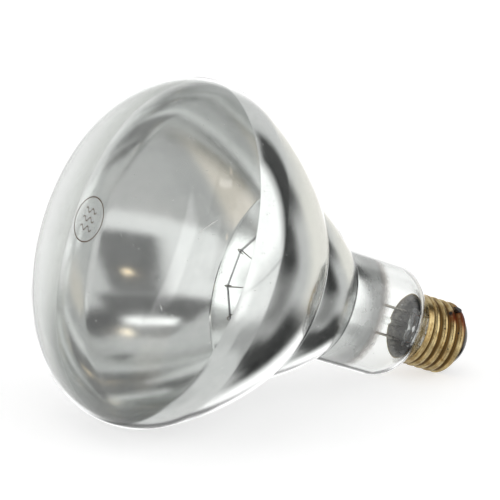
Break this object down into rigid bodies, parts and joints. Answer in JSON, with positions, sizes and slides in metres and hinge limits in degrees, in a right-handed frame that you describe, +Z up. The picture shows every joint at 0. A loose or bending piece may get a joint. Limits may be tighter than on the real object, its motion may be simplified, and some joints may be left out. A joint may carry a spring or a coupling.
{
  "type": "infrared heat lamp bulb",
  "caption": "Infrared reflector heat lamp bulb, 127 mm wide and 163 mm long: clear stepped glass bulb with mirrored bowl, ring filament on its stem, and rolled brass screw cap.",
  "frame": {"origin": "middle of the footprint of the lying lamp, on the floor that it rests on", "axes": "+X runs from the lamp's face towards its cap and the lamp's own axis dips 23.1 degrees below it; +Y is to the left seen from the face side; +Z is up"},
  "size_m": [0.1626, 0.127, 0.1209],
  "materials": {
    "bulb_glass": "clear soda lime glass, blown",
    "mirror_film": "vacuum deposited aluminium",
    "cap_brass": "rolled sheet, tarnished by heat",
    "black_glass": "pressed black glass",
    "contact_brass": "stamped plate",
    "solder": "dull tin lead solder",
    "basing_cement": "baked resin and marble flour",
    "stem_glass": "clear lead glass, pressed hot",
    "lead_wire": "drawn nickel plated wire",
    "copper_wire": "drawn copper clad wire",
    "support_wire": "drawn molybdenum wire",
    "filament_wire": "coiled tungsten wire"
  },
  "bodies": {
    "root": {"basing_cement": "basing_cement", "cap_insulator": "black_glass", "cap_shell": "cap_brass", "centre_contact": "contact_brass", "centre_lead": "copper_wire", "centre_solder": "solder", "exhaust_tube": "stem_glass", "filament": "filament_wire", "filament_support_1": "support_wire", "filament_support_2": "support_wire", "filament_support_3": "support_wire", "filament_support_4": "support_wire", "filament_support_5": "support_wire", "filament_support_6": "support_wire", "glass_bulb": "bulb_glass", "inner_lead_lower": "lead_wire", "inner_lead_upper": "lead_wire", "reflector_coating": "mirror_film", "seal_wire_lower": "copper_wire", "seal_wire_upper": "copper_wire", "side_lead": "copper_wire", "side_solder": "solder", "stem_flare": "stem_glass", "support_rod": "stem_glass"}
  },
  "joints": []
}
